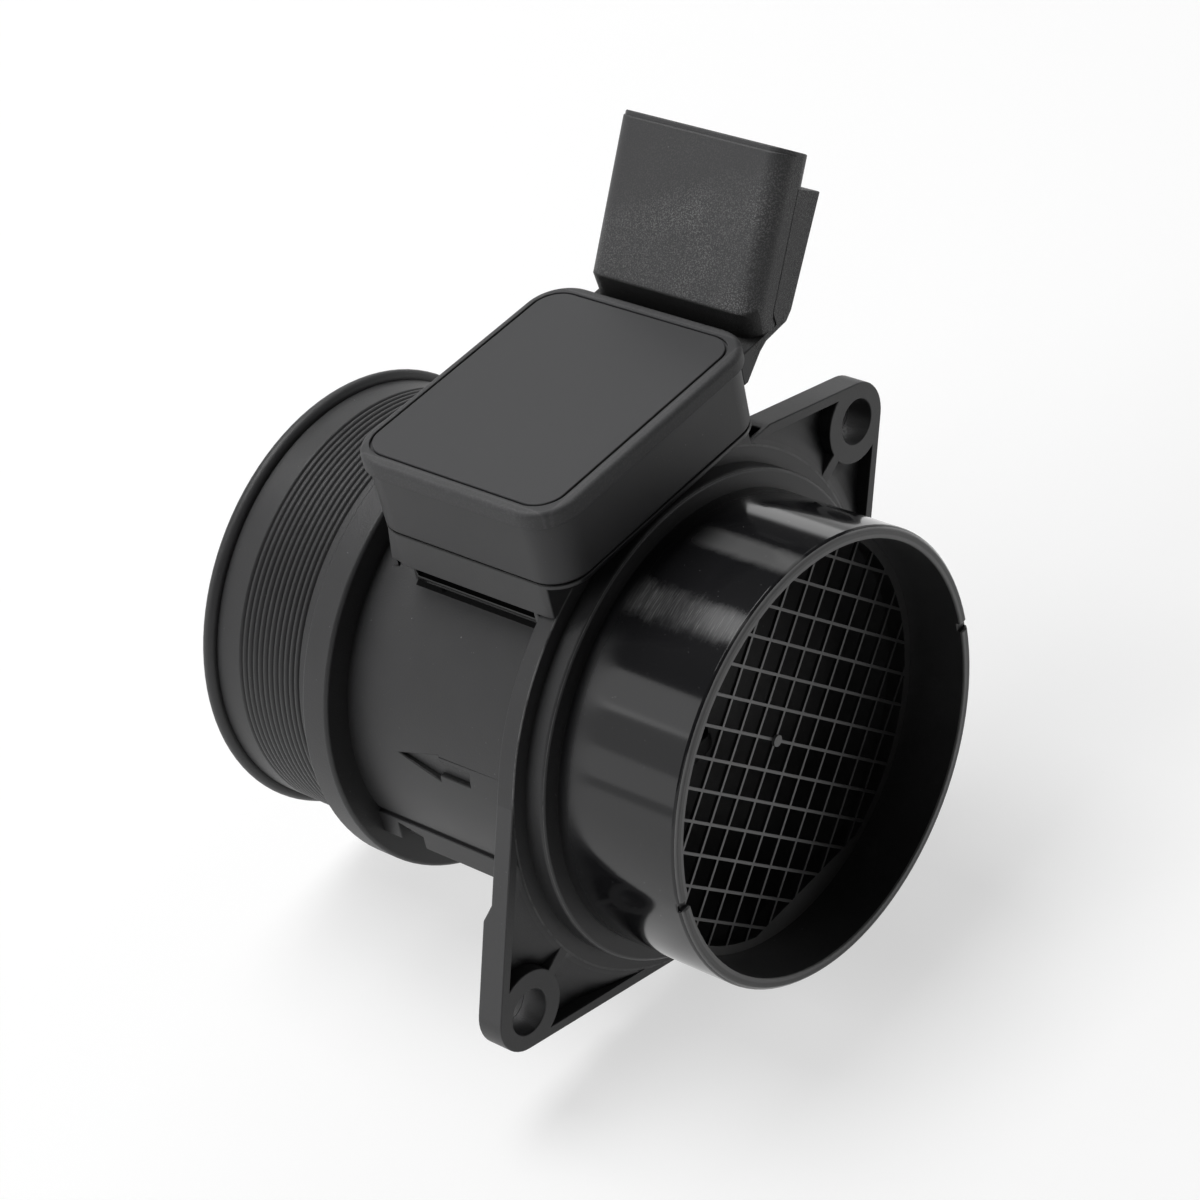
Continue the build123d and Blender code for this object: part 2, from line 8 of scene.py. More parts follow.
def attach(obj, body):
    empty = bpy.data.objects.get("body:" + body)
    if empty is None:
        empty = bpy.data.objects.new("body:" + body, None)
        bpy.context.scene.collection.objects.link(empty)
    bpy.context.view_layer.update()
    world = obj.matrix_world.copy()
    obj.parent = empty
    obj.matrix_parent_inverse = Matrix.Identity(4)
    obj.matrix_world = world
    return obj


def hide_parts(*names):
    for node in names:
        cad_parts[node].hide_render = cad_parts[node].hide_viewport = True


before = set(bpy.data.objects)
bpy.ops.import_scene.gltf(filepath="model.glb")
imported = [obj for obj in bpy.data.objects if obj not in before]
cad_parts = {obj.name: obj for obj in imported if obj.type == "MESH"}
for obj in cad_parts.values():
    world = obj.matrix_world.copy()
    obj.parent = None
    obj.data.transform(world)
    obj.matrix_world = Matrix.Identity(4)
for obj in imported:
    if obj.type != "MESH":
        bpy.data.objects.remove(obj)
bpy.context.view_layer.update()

MM = 0.001

# Tube housing: the flow tube with its flange, seat and hose spigots, one injection moulding in
# black filled plastic. The inlet spigot is polished and scuffed by the seal it slides in, the
# rest is satin, and the upward faces of the flange are paler. Its colour also holds painted light:
# pale painted reflections on the spigot, painted highlights on the mouth and the front edges, and
# painted shade in the gaps under the seat, under the box, on the pocket floors and round the arrow.
TUBE_EDGE = 0.16 * MM
CREASE = radians(32)
FLAT = radians(0.2)
MERGE_DISTANCE = 0.001 * MM
ROOM_FOR_EDGE = 1.6


class Wire:
    """An output of a shader node; arithmetic on it adds Math nodes."""

    def __init__(self, surface, socket):
        self.surface = surface
        self.socket = socket

    def __add__(self, other):
        return self.surface.math("ADD", self, other)

    __radd__ = __add__

    def __sub__(self, other):
        return self.surface.math("SUBTRACT", self, other)

    def __rsub__(self, other):
        return self.surface.math("SUBTRACT", other, self)

    def __mul__(self, other):
        return self.surface.math("MULTIPLY", self, other)

    __rmul__ = __mul__

    def __gt__(self, other):
        return self.surface.math("GREATER_THAN", self, other)

    def __lt__(self, other):
        return self.surface.math("LESS_THAN", self, other)

    def __abs__(self):
        return self.surface.math("ABSOLUTE", self)

    def limited(self):
        """The same value, kept between 0 and 1."""
        return self.surface.add("ShaderNodeClamp", {}, {"Value": self})

    def within(self, low, high):
        """1 between low and high, 0 elsewhere."""
        return (self > low) * (self < high)

    def ramp(self, low, high):
        """0 below low, 1 above high, and smooth between."""
        settings = {"interpolation_type": "SMOOTHSTEP"}
        values = {"Value": self, "From Min": low, "From Max": high}
        return self.surface.add("ShaderNodeMapRange", settings, values)

    def near(self, middle, close, far):
        """1 within close of the middle, 0 past far, and smooth between."""
        return 1.0 - abs(self - middle).ramp(close, far)


class Surface:
    """A material being made: add() puts in a node and returns one of its outputs."""

    def __init__(self, name):
        self.material = bpy.data.materials.new(name)
        self.material.use_nodes = True
        self.tree = self.material.node_tree
        self.tree.nodes.clear()

    def add(self, kind, settings, values, output=0):
        node = self.tree.nodes.new(kind)
        for key, value in settings.items():
            setattr(node, key, value)
        for key, value in values.items():
            if isinstance(value, Wire):
                self.tree.links.new(value.socket, node.inputs[key])
            elif value is not None:
                node.inputs[key].default_value = value
        return Wire(self, node.outputs[output])

    def math(self, operation, first, second=None):
        return self.add("ShaderNodeMath", {"operation": operation}, {0: first, 1: second})

    def place(self):
        """The point on the piece, in metres, as a vector."""
        return self.add("ShaderNodeTexCoord", {}, {}, "Object")

    def axes(self, coordinate="Object"):
        """Three values: how far sideways, along the tube and upward a point is or faces."""
        vector = self.add("ShaderNodeTexCoord", {}, {}, coordinate)
        return [self.add("ShaderNodeSeparateXYZ", {}, {0: vector}, axis) for axis in "XYZ"]

    def noise(self, scale, detail=3.0, roughness=0.6, stretch=(1.0, 1.0, 1.0)):
        """Noise from 0 to 1 over the piece; scale is in waves per metre."""
        point = self.add("ShaderNodeMapping", {}, {"Vector": self.place(), "Scale": stretch})
        values = {"Vector": point, "Scale": scale, "Detail": detail, "Roughness": roughness}
        return self.add("ShaderNodeTexNoise", {}, values, "Fac")

    def blend(self, factor, first, second):
        """Colour first where factor is 0, second where it is 1."""
        colour_sockets = {0: factor, 6: first, 7: second}
        return self.add("ShaderNodeMix", {"data_type": "RGBA"}, colour_sockets, 2)

    def paint(self, colour, coats):
        """The colour under those coats, each one a mask and the colour that it brings."""
        for mask, coat in coats:
            colour = self.blend(mask, colour, coat)
        return colour

    def relief(self, height, depth, strength=1.0, under=None):
        """A bump of that depth in metres, over another one if given."""
        values = {"Height": height, "Distance": depth, "Strength": strength, "Normal": under}
        return self.add("ShaderNodeBump", {}, values)

    def far_from_line(self, across, up, corners):
        """How far a point is from the closed line through those corners."""
        nearest = None
        for start, end in zip(corners, corners[1:] + corners[:1]):
            step = (end[0] - start[0], end[1] - start[1])
            length = step[0] ** 2 + step[1] ** 2
            beside, above = across - start[0], up - start[1]
            share = ((beside * step[0] + above * step[1]) * (1.0 / length)).limited()
            beside, above = beside - share * step[0], above - share * step[1]
            gap = self.math("SQRT", beside * beside + above * above)
            nearest = gap if nearest is None else self.math("MINIMUM", nearest, gap)
        return nearest

    def finish(self, settings):
        """Closes the material with a Principled shader and returns it."""
        shader = self.add("ShaderNodeBsdfPrincipled", {}, settings)
        output = self.tree.nodes.new("ShaderNodeOutputMaterial")
        self.tree.links.new(shader.socket, output.inputs["Surface"])
        return self.material


def grey(level, blue=0.0):
    """A neutral colour, with a little more blue if given."""
    return (level, level, level + blue, 1.0)


def show(name, data):
    """A new object with that mesh, lamp or camera, linked to the scene."""
    thing = bpy.data.objects.new(name, data)
    bpy.context.scene.collection.objects.link(thing)
    return thing


def moulding(node, name, edge, change=None):
    """A merged copy of a CAD node, standing for it, with the corners rounded that have room."""
    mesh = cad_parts[node].data.copy()
    shape = bmesh.new()
    shape.from_mesh(mesh)
    bmesh.ops.remove_doubles(shape, verts=shape.verts, dist=MERGE_DISTANCE)
    if change:
        change(shape)
    bmesh.ops.dissolve_limit(shape, angle_limit=FLAT, verts=shape.verts, edges=shape.edges)
    rounding = shape.edges.layers.float.new("bevel_weight_edge")
    sharp = set()
    for face in shape.faces:
        face.smooth = True
    for side in shape.edges:
        side.smooth = side.is_manifold and side.calc_face_angle(0.0) < CREASE
        if not side.smooth and side.is_manifold and side.calc_face_angle_signed(0.0) > 0.0:
            sharp.add(side)
    for side in sharp:
        meeting = [other for corner in side.verts for other in corner.link_edges]
        beside = [other for other in meeting if other not in sharp]
        free = all(other.calc_length() > ROOM_FOR_EDGE * edge for other in beside)
        side[rounding] = 1.0 if free and edge else 0.0
    shape.to_mesh(mesh)
    shape.free()
    piece = show(name, mesh)
    if edge:
        bevel = piece.modifiers.new("rounded_corners", "BEVEL")
        bevel.width = edge
        bevel.segments = 2
        bevel.limit_method = "WEIGHT"
        bevel.use_clamp_overlap = False
    level = piece.modifiers.new("flat_faces_stay_flat", "WEIGHTED_NORMAL")
    level.keep_sharp = True
    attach(piece, "root")
    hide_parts(node)
    return piece


def dress(piece, material):
    """Gives the whole piece that one finish."""
    piece.data.materials.clear()
    piece.data.materials.append(material)


SLOT_NEAR_X, SLOT_FAR_X = 9.9 * MM, 23.1 * MM
SLOT_FRONT_Y, SLOT_FOOT_Z = 3.6 * MM, 27.8 * MM
SOLID_END_Y, SOLID_ROOF_Z = 30.4 * MM, 35.1 * MM
SLOT_END_Y, SLOT_ROOF_Z = 31.6 * MM, 36.0 * MM
CLEARANCE, TOLERANCE = 0.1 * MM, 0.02 * MM


def raise_slot(shape):
    """Lifts the roof of the slots under the seat and moves their back ends to the seat's corner."""
    for corner in shape.verts:
        x, y, z = corner.co
        across = SLOT_NEAR_X < abs(x) < SLOT_FAR_X
        if not (across and SLOT_FRONT_Y < y < SOLID_END_Y + CLEARANCE):
            continue
        if SLOT_FOOT_Z < z < SOLID_ROOF_Z + CLEARANCE and abs(y - SOLID_END_Y) < TOLERANCE:
            corner.co.y = SLOT_END_Y
        if abs(z - SOLID_ROOF_Z) < TOLERANCE:
            corner.co.z = SLOT_ROOF_Z


TUBE_BLACK, TUBE_DUST, FLANGE_TOP_PALE = grey(0.031, 0.001), grey(0.050, 0.002), grey(0.066, 0.002)
POLISHED_AND_SHADE_BLACK, PAINTED_SHADE_BLACK = grey(0.011, 0.001), grey(0.005)
SCUFF_GREY, PAINTED_REFLECTION_PALE = grey(0.075, 0.001), grey(0.17)
MOUTH_LIT_GREY, RUBBED_AND_HIGHLIGHT_GREY, SPECK_AND_GLINT_GREY = grey(0.12), grey(0.22), grey(0.20)
SCUFF_ANGLE, REFLECTION_STREAK_ANGLE = radians(-20.0), radians(1.8)
BORE_RADIUS, RIM_RADIUS, SPIGOT_RADIUS = 32.0 * MM, 34.15 * MM, 35.0 * MM
RING_EDGE_RADIUS, PLATE_EDGE_RADIUS, EAR_RADIUS = 37.95 * MM, 40.45 * MM, 40.7 * MM
MOUTH_Y, RING_FRONT_Y = -24.8 * MM, -3.3 * MM
POCKET_FRONT_Y, POCKET_BACK_Y = 0.3 * MM, 4.0 * MM
FLANGE_FRONT_Y, FLANGE_BACK_Y = -0.1 * MM, 4.5 * MM
GAP_HALF_X, GAP_FOOT_Z = 19.2 * MM, 24.0 * MM
SEAM_START_Z, SEAM_END_Z = 39.72 * MM, 39.84 * MM
FACE_DEPTH, LINE_HALF, LINE_FADE = 0.22 * MM, 0.10 * MM, 0.24 * MM
ARROW_SIDE_X = -25.0 * MM
ARROW_CORNERS = [
    (29.6 * MM, 5.6 * MM), (21.6 * MM, 7.8 * MM), (21.6 * MM, 6.75 * MM), (15.6 * MM, 6.75 * MM),
    (15.6 * MM, 4.45 * MM), (21.6 * MM, 4.45 * MM), (21.6 * MM, 3.4 * MM),
]
tube = Surface("tube_black")
sideways, along, upward = tube.axes()
outward_y, outward_z = tube.axes("Normal")[1:]
off_axis = tube.add(
    "ShaderNodeVectorMath", {"operation": "MULTIPLY"}, {0: tube.place(), 1: (1.0, 0.0, 1.0)})
radius = tube.add("ShaderNodeVectorMath", {"operation": "LENGTH"}, {0: off_axis}, "Value")
turn_angle = tube.math("ARCTAN2", sideways, upward)
from_ring = RING_FRONT_Y - along
polished = (along < RING_FRONT_Y - 0.2 * MM) * (radius > SPIGOT_RADIUS - 0.5 * MM)
cloud = tube.noise(60.0)
specks = tube.noise(1700.0, 2.0, 0.7).ramp(0.735, 0.765)
streaks = tube.noise(240.0, 4.0, 0.75, stretch=(1.0, 24.0, 1.0))
fray = tube.noise(420.0, 4.0, 0.7) - 0.5
scuff = (turn_angle + 0.10 * fray).near(SCUFF_ANGLE, 0.03, 0.11) * polished
scuff = scuff * from_ring.ramp(0.8 * MM, 3.5 * MM)
# A pale stripe along the spigot is a painted reflection of a lamp.
reflection_streak = (turn_angle + 0.03 * fray).near(REFLECTION_STREAK_ANGLE, 0.035, 0.085) * polished
reflection_streak = reflection_streak * from_ring.ramp(2.5 * MM, 9.0 * MM)
rubbed = tube.noise(34.0, 2.0, 0.5).ramp(0.50, 0.66) * polished
scratched = streaks.ramp(0.53, 0.66) * (rubbed * 0.5 + scuff).limited()
# Painted light: the end face of the mouth is painted mid grey, and paler near its edges as a
# painted highlight.
mouth_face = (along < MOUTH_Y + 0.35 * MM) * (radius > BORE_RADIUS)
mouth_edge_highlight = mouth_face * abs(radius - RIM_RADIUS).ramp(0.30 * MM, 0.60 * MM)
# Broken pale lines on the front edges of the ring and the plate are edge wear with a painted edge
# highlight.
ring_edge_line = radius.near(RING_EDGE_RADIUS, LINE_HALF, LINE_FADE) * (abs(from_ring) < FACE_DEPTH)
plate_edge_line = radius.near(PLATE_EDGE_RADIUS, LINE_HALF, LINE_FADE) * (abs(along) < FACE_DEPTH)
edge_rub_and_highlight = (ring_edge_line + 0.6 * plate_edge_line) * tube.noise(300.0).ramp(0.30, 0.55)
# The dark line round the arrow's outline is painted shade along its edges.
arrow_gap = tube.far_from_line(along, upward, ARROW_CORNERS)
arrow_outline_shade = (1.0 - arrow_gap.ramp(LINE_HALF, LINE_FADE)) * (sideways < ARROW_SIDE_X)
# Painted shade: the slots under the seat are painted black, with less grain and a glossier finish.
seat_gap_shade = (abs(sideways) < GAP_HALF_X) * along.within(SLOT_FRONT_Y, SLOT_END_Y + CLEARANCE)
seat_gap_shade = seat_gap_shade * upward.within(GAP_FOOT_Z, SLOT_ROOF_Z + 0.05 * MM)
# Painted shade: black in the slots, on the tube above the seat under the box, and round the arrow.
shade = (seat_gap_shade + upward.ramp(SEAM_START_Z, SEAM_END_Z) + arrow_outline_shade * 0.9).limited()
on_ear = radius > EAR_RADIUS
# The upward faces of the flange beyond the disc are painted paler.
flange_top = outward_z.ramp(0.2, 0.6) * on_ear * along.within(FLANGE_FRONT_Y, FLANGE_BACK_Y)
# Painted shade: the pocket floors of the ears are painted near black.
pocket_floor_shade = (outward_y < -0.5) * on_ear * along.within(POCKET_FRONT_Y, POCKET_BACK_Y)
# The scuff is wear; towards the ring it turns pale as a painted reflection.
scuff_and_reflection_colour = tube.blend(along.ramp(-13.0 * MM, -7.0 * MM), SCUFF_GREY, PAINTED_REFLECTION_PALE)
satin = 0.42 + 0.10 * cloud
near_ring = 1.0 - from_ring.ramp(1.0 * MM, 7.0 * MM)
gloss = 0.075 + 0.03 * cloud + 0.16 * scratched + 0.10 * scuff + 0.20 * near_ring
grain_strength = 0.75 - 0.72 * polished - 0.75 * seat_gap_shade
grain = tube.relief(tube.noise(3300.0, 3.0, 0.65), 0.045 * MM, grain_strength)
tube_material = tube.finish({
    "Base Color": tube.paint(TUBE_BLACK, [
        (cloud.ramp(0.35, 0.75) * 0.4, TUBE_DUST),
        (flange_top, FLANGE_TOP_PALE),
        (pocket_floor_shade * 0.9, POLISHED_AND_SHADE_BLACK),
        (shade, PAINTED_SHADE_BLACK),
        (polished, POLISHED_AND_SHADE_BLACK),
        (reflection_streak * 0.62, PAINTED_REFLECTION_PALE),
        (scuff * (0.35 + 0.65 * streaks.ramp(0.42, 0.62)) * 0.8, scuff_and_reflection_colour),
        (mouth_face, MOUTH_LIT_GREY),
        (mouth_edge_highlight, RUBBED_AND_HIGHLIGHT_GREY),
        (edge_rub_and_highlight.limited(), RUBBED_AND_HIGHLIGHT_GREY),
        (specks * 0.6, SPECK_AND_GLINT_GREY),
    ]),
    "Roughness": (satin + (gloss - satin) * polished) * (1.0 - 0.85 * seat_gap_shade),
    "Normal": tube.relief(streaks * (0.3 * rubbed + scuff), 0.008 * MM, 0.5, grain),
})
tube_piece = moulding("tube_housing", "tube_shell", TUBE_EDGE, raise_slot)
dress(tube_piece, tube_material)

# Bolt sleeves: a short collar behind each ear, moulded on in the same plastic, which makes the
# bolt holes deeper than the ear is thick. Places and outline are in millimetres.
SLEEVE_PLACES = [(45.955, 22.117), (-45.955, -22.117)]
SLEEVE_PROFILE = [(3.6, 4.4), (4.4, 4.4), (4.4, 5.7), (4.2, 5.9), (3.8, 5.9), (3.6, 5.7)]
SLEEVE_STEPS = 48
sides = len(SLEEVE_PROFILE)
for number, (x, z) in enumerate(SLEEVE_PLACES, start=1):
    corners, faces = [], []
    for step in range(SLEEVE_STEPS):
        angle = 2 * pi * step / SLEEVE_STEPS
        for r, y in SLEEVE_PROFILE:
            corners.append(((x + r * cos(angle)) * MM, y * MM, (z + r * sin(angle)) * MM))
        here, after = step * sides, (step + 1) % SLEEVE_STEPS * sides
        for side in range(sides):
            beyond = (side + 1) % sides
            faces.append((here + side, here + beyond, after + beyond, after + side))
    sleeve_mesh = bpy.data.meshes.new(f"bolt_sleeve_{number}")
    sleeve_mesh.from_pydata(corners, [], faces)
    shape = bmesh.new()
    shape.from_mesh(sleeve_mesh)
    bmesh.ops.recalc_face_normals(shape, faces=shape.faces)
    for side in shape.edges:
        side.smooth = side.calc_face_angle(0.0) < CREASE
    for face in shape.faces:
        face.smooth = True
    shape.to_mesh(sleeve_mesh)
    shape.free()
    sleeve = show(f"bolt_sleeve_{number}", sleeve_mesh)
    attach(sleeve, "root")
    dress(sleeve, tube_material)

# Flow grid: a fine square lattice with its ring, moulded in dark grey plastic and pressed into
# the mouth of the tube. Light and shade are painted on its bars: their front faces are pale, most
# of all above and towards -X, and the rest of the bars is painted black.
GRID_FRONT_Y = -14.8 * MM
GRID_SIDE_SHADE, GRID_SHADED = grey(0.014), grey(0.040)
GRID_DARK, GRID_PALE = grey(0.22), grey(0.32)
grid = Surface("grid_grey")
sideways, along, upward = grid.axes()
grid_cloud = grid.noise(220.0)
# Painted light and shade: pale front faces, lit most above and towards -X, and black sides.
bar_front = along < GRID_FRONT_Y + 0.08 * MM
lit_side = 1.0 - sideways.ramp(-8.0 * MM, 18.0 * MM)
lit = lit_side * (0.3 + 0.7 * upward.ramp(-32.0 * MM, -12.0 * MM))
bar_grey = grid.blend(lit, GRID_SHADED, grid.blend(grid_cloud, GRID_DARK, GRID_PALE))
grid_material = grid.finish({
    "Base Color": grid.blend(bar_front, GRID_SIDE_SHADE, bar_grey),
    "Roughness": 0.30 + 0.12 * grid_cloud,
    "Normal": grid.relief(grid.noise(4200.0, 2.0, 0.5), 0.012 * MM, 0.3),
})
dress(moulding("flow_grid", "flow_lattice", 0.0), grid_material)

# Electronics box, neck and connector: one moulding. The tool was spark eroded, so the broad
# face of the connector carries a coarse grain, while the sides of the box are nearly smooth.
# Painted glints sit in that grain, and painted shade lies under the connector's foot, round the
# foot of the box and where the lid sits.
BOX_EDGE = 0.22 * MM
BOX_BLACK, BOX_DUST = grey(0.027, 0.001), grey(0.037, 0.002)
PLUG_BLACK, PLUG_DUST = grey(0.035, 0.001), grey(0.050, 0.002)
PLUG_START_X, PLUG_FULL_X, FOOT_END_X = 24.0 * MM, 26.5 * MM, 28.0 * MM
PLUG_FOOT_Z, FOOT_FADE = 54.6 * MM, 0.5 * MM
GRAIN_MIDDLE_Y, GRAIN_SLOPE = 14.0 * MM, 0.36
GRAIN_FULL_Z, GRAIN_END_Z = 62.5 * MM, 69.5 * MM
BOX_SEAM_Z, BOX_SEAM_END_Z = 40.20 * MM, 40.34 * MM
LID_GAP_Z, LID_GAP_FULL_Z = 50.12 * MM, 50.26 * MM
box = Surface("box_black")
sideways, along, upward = box.axes()
box_cloud = box.noise(70.0)
box_specks = box.noise(1700.0, 2.0, 0.7).ramp(0.74, 0.77)
spark = box.noise(4300.0, 3.0, 0.75)
plug_side = sideways.ramp(PLUG_START_X, PLUG_FULL_X)
grain_height = upward + GRAIN_SLOPE * (along - GRAIN_MIDDLE_Y)
coarse = plug_side * (0.5 + 0.5 * box.noise(55.0, 2.0, 0.5).ramp(0.38, 0.58))
coarse = coarse * (1.0 - 0.85 * grain_height.ramp(GRAIN_FULL_Z, GRAIN_END_Z))
# Pale dots in the coarse grain are painted glints.
painted_grain_glints = spark.ramp(0.49, 0.60) * coarse
# Painted shade: black under the connector's foot, round the foot of the box and on the box under
# the lid.
under_plug_shade = plug_side * (PLUG_FOOT_Z - upward).ramp(0.0, FOOT_FADE) * (sideways < FOOT_END_X)
box_seam_shade = 1.0 - upward.ramp(BOX_SEAM_Z, BOX_SEAM_END_Z)
under_lid_shade = upward.ramp(LID_GAP_Z, LID_GAP_FULL_Z) * (1.0 - plug_side)
box_material = box.finish({
    "Base Color": box.paint(box.blend(box_cloud, BOX_BLACK, BOX_DUST), [
        (plug_side, box.blend(box_cloud, PLUG_BLACK, PLUG_DUST)),
        (painted_grain_glints * 0.9, SPECK_AND_GLINT_GREY),
        ((under_plug_shade + box_seam_shade + under_lid_shade).limited(), PAINTED_SHADE_BLACK),
        (box_specks * 0.5, SPECK_AND_GLINT_GREY),
    ]),
    "Roughness": 0.46 + 0.10 * box_cloud,
    "Normal": box.relief(
        spark * coarse, 0.16 * MM, 1.0, box.relief(box.noise(3600.0), 0.035 * MM, 0.6)),
})
dress(moulding("sensor_body", "sensor_shell", BOX_EDGE), box_material)

# Lid: a separate cap bonded on the box, with a fine groove round its top. Its top is matte and
# its rim is grained, with a thin painted highlight beside the groove.
LID_EDGE = 0.12 * MM
LID_BLACK, LID_DUST, LID_WORN_AND_HIGHLIGHT = grey(0.036, 0.002), grey(0.046, 0.002), grey(0.085, 0.001)
GROOVE_HALF_X, GROOVE_HALF_Y, GROOVE_MIDDLE_Y = 21.8 * MM, 17.45 * MM, 14.75 * MM
RIM_START, RIM_FULL = 0.1 * MM, 0.4 * MM
RIDGE_LINE, RIDGE_HALF, RIDGE_FADE = 0.50 * MM, 0.06 * MM, 0.20 * MM
lid = Surface("lid_black")
sideways, along, upward = lid.axes()
lid_cloud = lid.noise(50.0)
rim_grain = lid.noise(2600.0, 3.0, 0.7).ramp(0.46, 0.62)
past_side = abs(sideways) - GROOVE_HALF_X
past_end = abs(along - GROOVE_MIDDLE_Y) - GROOVE_HALF_Y
past_groove = lid.math("MAXIMUM", past_side, past_end)
worn_rim = past_groove.ramp(RIM_START, RIM_FULL) * (0.35 + 0.65 * rim_grain)
# A thin pale line beside the groove is a painted highlight on its ridge.
ridge_highlight = past_groove.near(RIDGE_LINE, RIDGE_HALF, RIDGE_FADE)
lid_material = lid.finish({
    "Base Color": lid.paint(lid.blend(lid_cloud, LID_BLACK, LID_DUST), [
        ((worn_rim * 0.5 + ridge_highlight * 0.35).limited(), LID_WORN_AND_HIGHLIGHT),
    ]),
    "Roughness": 0.56 + 0.08 * lid_cloud,
    "Normal": lid.relief(lid.noise(3600.0, 3.0, 0.65), 0.022 * MM, 0.45),
})
dress(moulding("module_lid", "lid_cap", LID_EDGE), lid_material)

# Pieces inside the box and on the stem: stamped, fired or moulded parts that only show when the
# part is opened or looked at along the tube. They keep their solids and get their own finish.
TERMINAL_COUNT = 6


def plain_finish(name, low, high, roughness, metallic, scale):
    """A worn two-tone finish for a small piece."""
    surface = Surface(name)
    mottle = surface.noise(scale)
    fine = surface.noise(scale * 12.0, 2.0, 0.5)
    return surface.finish({
        "Base Color": surface.blend(mottle, low, high),
        "Roughness": roughness + 0.12 * mottle,
        "Metallic": metallic,
        "Normal": surface.relief(fine, 0.010 * MM, 0.3),
    })


RUBBER = plain_finish("seal_rubber", grey(0.020), grey(0.034), 0.60, 0.0, 300.0)
ALUMINIUM = plain_finish("base_aluminium", grey(0.60, 0.01), grey(0.72, 0.01), 0.32, 1.0, 500.0)
BOARD = plain_finish(
    "board_ceramic", (0.70, 0.71, 0.68, 1.0), (0.80, 0.81, 0.79, 1.0), 0.50, 0.0, 400.0)
CHIP = plain_finish("chip_black", grey(0.020, 0.002), grey(0.040, 0.002), 0.35, 0.0, 600.0)
CAPACITOR = plain_finish(
    "capacitor_tan", (0.36, 0.26, 0.16, 1.0), (0.46, 0.34, 0.22, 1.0), 0.45, 0.0, 600.0)
GLAZE = plain_finish(
    "element_glaze", (0.60, 0.63, 0.62, 1.0), (0.72, 0.75, 0.74, 1.0), 0.25, 0.0, 500.0)
TIN = plain_finish(
    "terminal_tin", (0.62, 0.61, 0.58, 1.0), (0.76, 0.75, 0.72, 1.0), 0.28, 1.0, 700.0)
INNER_FINISHES = {
    "stem_seal": RUBBER,
    "duct_cover": box_material,
    "base_plate": ALUMINIUM,
    "circuit_board": BOARD,
    "signal_chip": CHIP,
    "capacitor_1": CAPACITOR,
    "capacitor_2": CAPACITOR,
    "flow_element": GLAZE,
    "air_temp_element": GLAZE,
}
for number in range(1, TERMINAL_COUNT + 1):
    INNER_FINISHES[f"terminal_{number}"] = TIN
for node, material in INNER_FINISHES.items():
    dress(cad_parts[node], material)

# Studio: a plain pale floor just under the part with a low pale wall round it, and a dim room.
# The camera and reflections see the floor near white, while it throws little light back on the
# part. Neither is a piece of the part.
FLOOR_Z, FLOOR_HALF = -41.0 * MM, 5.0
WALL_RADIUS, WALL_TOP_Z, WALL_STEPS = 4.9, 1.2, 96
FLOOR_LIT, FLOOR_SEEN, FLOOR_GLOW = grey(0.38), grey(0.44), 0.58
ROOM_LIGHT = 0.055
floor_surface = Surface("floor_white")
camera_ray, glossy_ray, clear_ray = [
    floor_surface.add("ShaderNodeLightPath", {}, {}, f"Is {ray} Ray")
    for ray in ("Camera", "Glossy", "Transmission")]
seen = (camera_ray + glossy_ray + clear_ray).limited()
floor_material = floor_surface.finish({
    "Base Color": floor_surface.blend(seen, FLOOR_LIT, FLOOR_SEEN),
    "Roughness": 0.9,
    "Specular IOR Level": 0.0,
    "Emission Color": floor_surface.blend(seen, grey(0.0), grey(1.0)),
    "Emission Strength": FLOOR_GLOW,
})


def backdrop(name, corners, faces):
    """A piece of the studio in the floor's finish."""
    mesh = bpy.data.meshes.new(name)
    mesh.from_pydata(corners, [], faces)
    piece = show(name, mesh)
    dress(piece, floor_material)


square = [(-1, -1), (1, -1), (1, 1), (-1, 1)]
floor_corners = [(x * FLOOR_HALF, y * FLOOR_HALF, FLOOR_Z) for x, y in square]
backdrop("studio_floor", floor_corners, [(0, 1, 2, 3)])
turns = [2 * pi * step / WALL_STEPS for step in range(WALL_STEPS)]
low_ring = [(WALL_RADIUS * cos(turn), WALL_RADIUS * sin(turn), FLOOR_Z) for turn in turns]
high_ring = [(x, y, WALL_TOP_Z) for x, y, z in low_ring]
panels = []
for here in range(WALL_STEPS):
    after = (here + 1) % WALL_STEPS
    panels.append((here, after, after + WALL_STEPS, here + WALL_STEPS))
backdrop("studio_wall", low_ring + high_ring, panels)

world = bpy.data.worlds.new("dim_room")
bpy.context.scene.world = world
world.use_nodes = True
nodes, links = world.node_tree.nodes, world.node_tree.links
nodes.clear()
room = nodes.new("ShaderNodeBackground")
room.inputs["Color"].default_value = grey(1.0)
room.inputs["Strength"].default_value = ROOM_LIGHT
world_output = nodes.new("ShaderNodeOutputWorld")
links.new(room.outputs["Background"], world_output.inputs["Surface"])


# Lamps: three soft boxes light the part, two of them unseen in reflections, and five dim cards
# behind it give the pale stripes along the polished spigot. Sizes are in metres.
def softbox(name, direction, distance, across, along_tube, radiance,
            shape="RECTANGLE", reflected=True):
    """An area lamp facing the part from that direction, its second side along the tube."""
    lamp = bpy.data.lights.new(name, "AREA")
    lamp.shape = shape
    lamp.size, lamp.size_y = across, along_tube
    filled = pi / 4 if shape == "ELLIPSE" else 1.0
    lamp.energy = radiance * pi * across * along_tube * filled
    holder = show(name, lamp)
    way = Vector(direction).normalized()
    side = Vector((0.0, 1.0, 0.0)).cross(way).normalized()
    turned = Matrix((side, way.cross(side), way)).transposed().to_4x4()
    holder.matrix_world = Matrix.Translation(way * distance) @ turned
    holder.visible_glossy = reflected


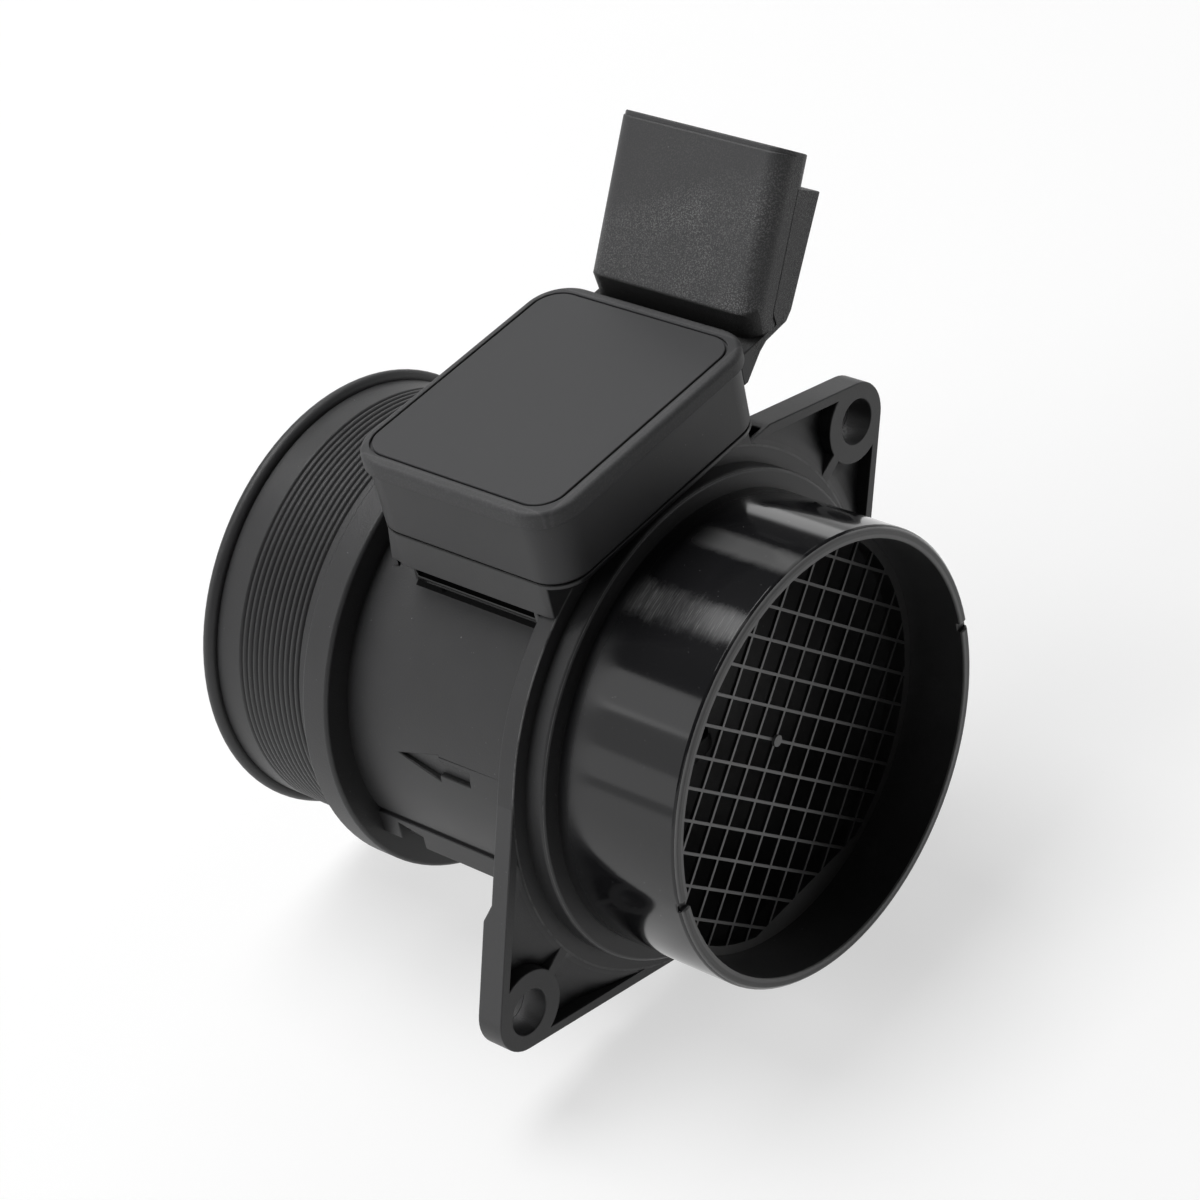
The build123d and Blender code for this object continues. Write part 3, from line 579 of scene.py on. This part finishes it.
softbox("lamp_key", (0.00, 0.28, 0.96), 1.1, 0.90, 0.45, 5.8)
softbox("lamp_left", (-0.80, 0.20, 0.56), 1.2, 0.60, 0.40, 5.0, reflected=False)
softbox("lamp_right", (0.90, -0.33, 0.20), 1.1, 0.35, 0.35, 3.6, reflected=False)
softbox("card_right_back", (0.785, 0.59, 0.14), 1.2, 0.22, 0.56, 0.95, "ELLIPSE")
softbox("card_back", (0.63, 0.57, 0.53), 1.1, 0.21, 0.90, 2.2)
softbox("card_top_back", (0.04, 0.59, 0.81), 1.1, 0.21, 0.90, 2.2)
softbox("card_left_back", (-0.57, 0.58, 0.58), 1.2, 0.34, 0.90, 1.35)
softbox("card_left", (-0.75, 0.58, 0.28), 1.2, 0.64, 0.90, 0.62)

# Camera: a long lens at the photograph's angle, with the frame turned a little. Its place comes
# from where the point TARGET on the tube's axis lies in the frame, and how far away it is.
AZIMUTH, ELEVATION, ROLL = radians(-42.16118), radians(36.85244), radians(-13.76485)
FOCAL_PX, IMAGE_PX, SENSOR_WIDTH = 3572.197, 1200.0, 36.0
TARGET = Vector((0.0, 22.7, 0.0)) * MM
TARGET_PX = (580.881, 667.009)
DEPTH = 541.606 * MM
back = Vector((sin(AZIMUTH) * cos(ELEVATION), -cos(AZIMUTH) * cos(ELEVATION), sin(ELEVATION)))
level_right = Vector((cos(AZIMUTH), sin(AZIMUTH), 0.0))
level_up = back.cross(level_right)
right = cos(ROLL) * level_right + sin(ROLL) * level_up
up = -sin(ROLL) * level_right + cos(ROLL) * level_up
offset_right = (TARGET_PX[0] - IMAGE_PX / 2) / FOCAL_PX * DEPTH
offset_up = (IMAGE_PX / 2 - TARGET_PX[1]) / FOCAL_PX * DEPTH
lens_point = TARGET - offset_right * right - offset_up * up + DEPTH * back
camera_data = bpy.data.cameras.new("camera")
camera_data.sensor_width = SENSOR_WIDTH
camera_data.lens = FOCAL_PX / IMAGE_PX * SENSOR_WIDTH
camera = show("camera", camera_data)
turned = Matrix((right, up, back)).transposed().to_4x4()
camera.matrix_world = Matrix.Translation(lens_point) @ turned
bpy.context.scene.camera = camera
bpy.context.scene.view_settings.view_transform = "Standard"
